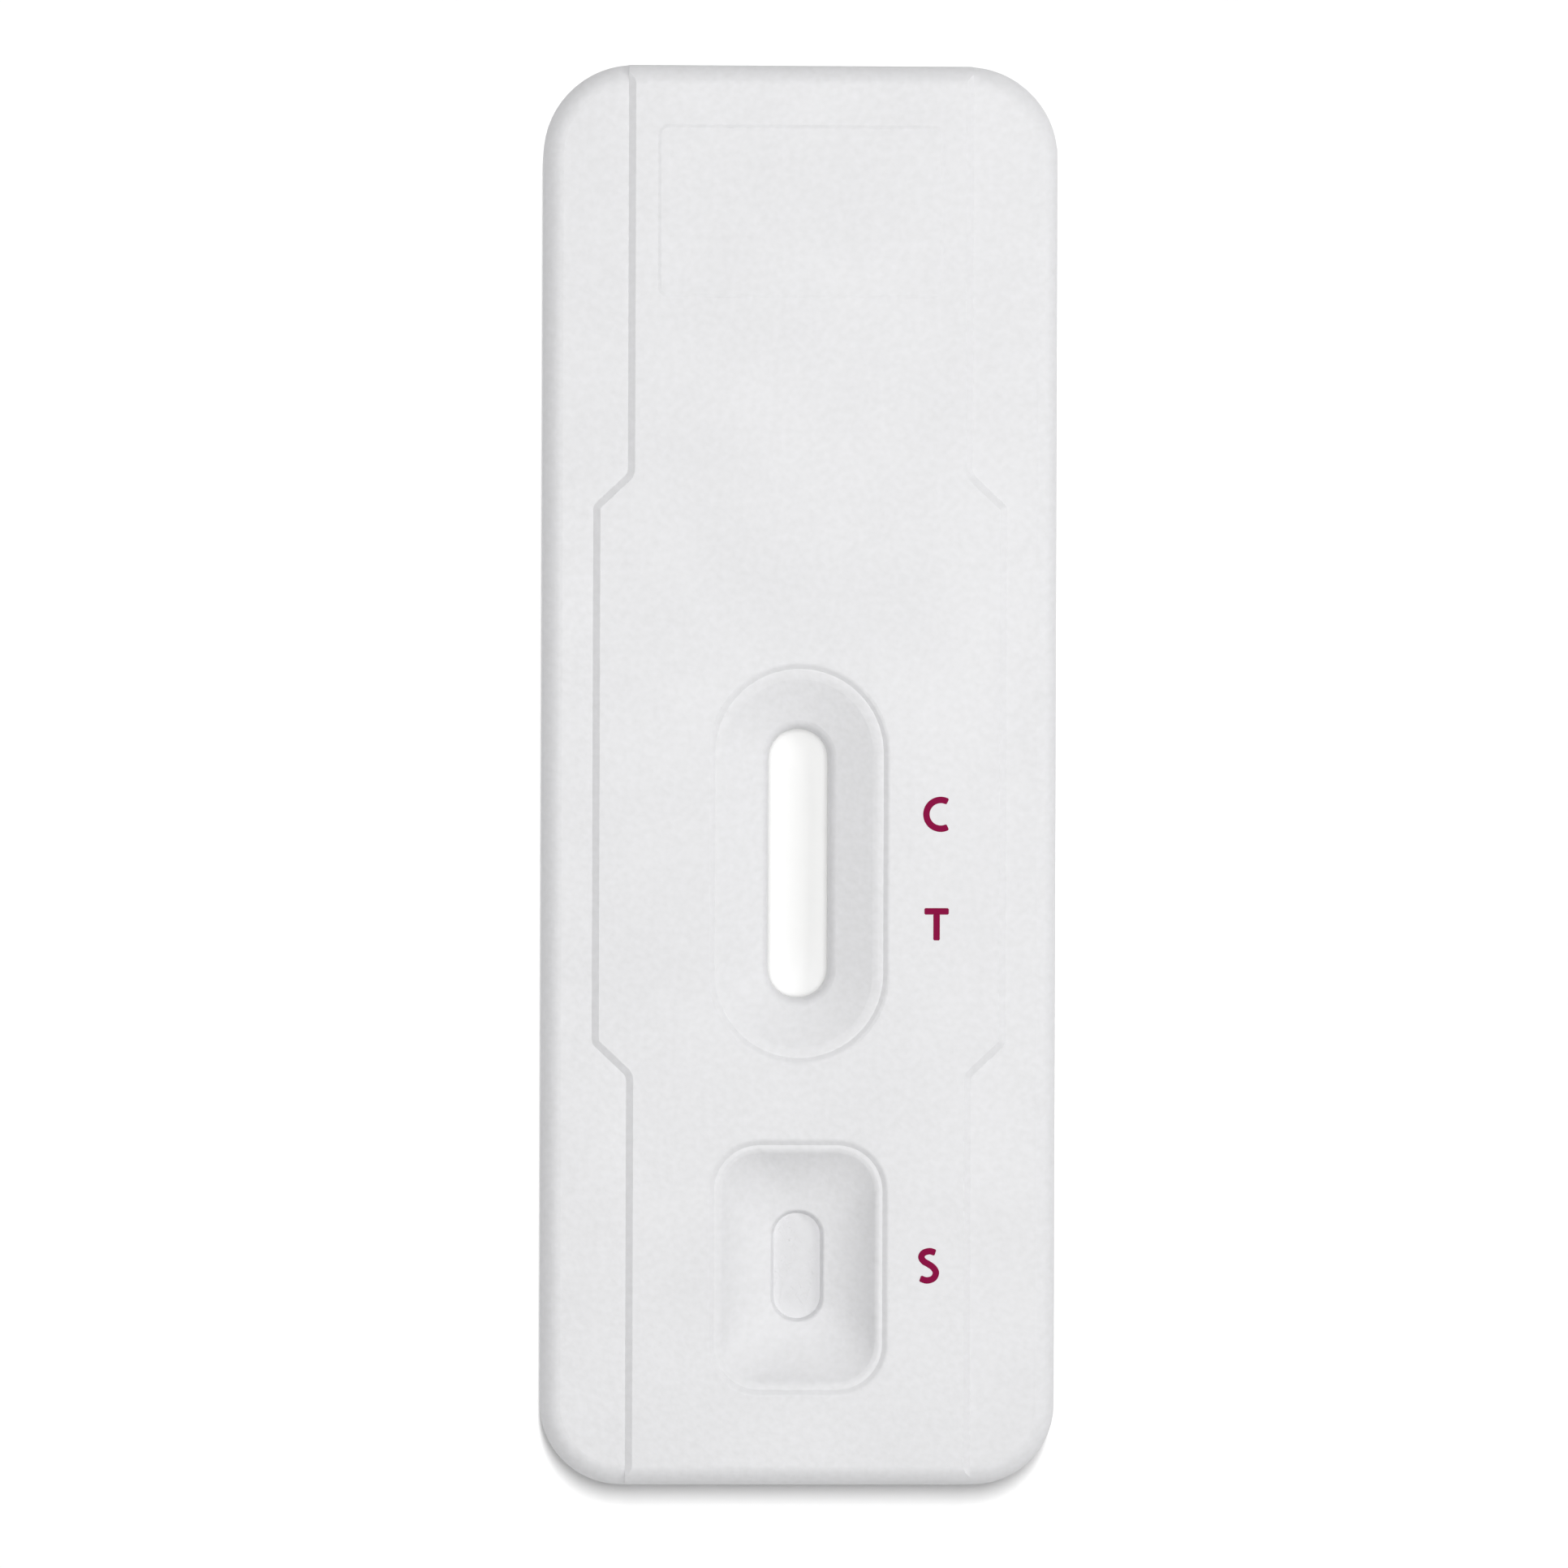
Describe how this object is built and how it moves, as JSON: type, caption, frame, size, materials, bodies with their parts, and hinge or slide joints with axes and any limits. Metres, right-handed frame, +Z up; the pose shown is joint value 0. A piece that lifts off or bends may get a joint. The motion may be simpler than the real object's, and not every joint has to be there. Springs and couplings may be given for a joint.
{
  "type": "lateral flow cassette",
  "caption": "Flat white moulded test cassette with rounded corners, a raised centre panel, an oval result window and a sample well over a test strip.",
  "frame": {"origin": "middle of the flat underside", "axes": "+X across the cassette, +Y along it from the sample well to the writing pad, +Z up out of the cover"},
  "size_m": [0.0254, 0.07, 0.005],
  "materials": {
    "moulded_cover": "fine matte moulded texture",
    "moulded_base": "fine matte moulded texture",
    "backing_card": "smooth sheet",
    "membrane": "fine dry pores",
    "conjugate_pad": "glass fibre felt with a pale red dried label",
    "sample_pad": "soft cellulose felt",
    "absorbent_pad": "thick cotton felt"
  },
  "bodies": {
    "root": {"top_cover": "moulded_cover", "bottom_base": "moulded_base", "backing_card": "backing_card", "nitrocellulose_membrane": "membrane", "conjugate_pad": "conjugate_pad", "sample_pad": "sample_pad", "absorbent_pad": "absorbent_pad"}
  },
  "joints": []
}
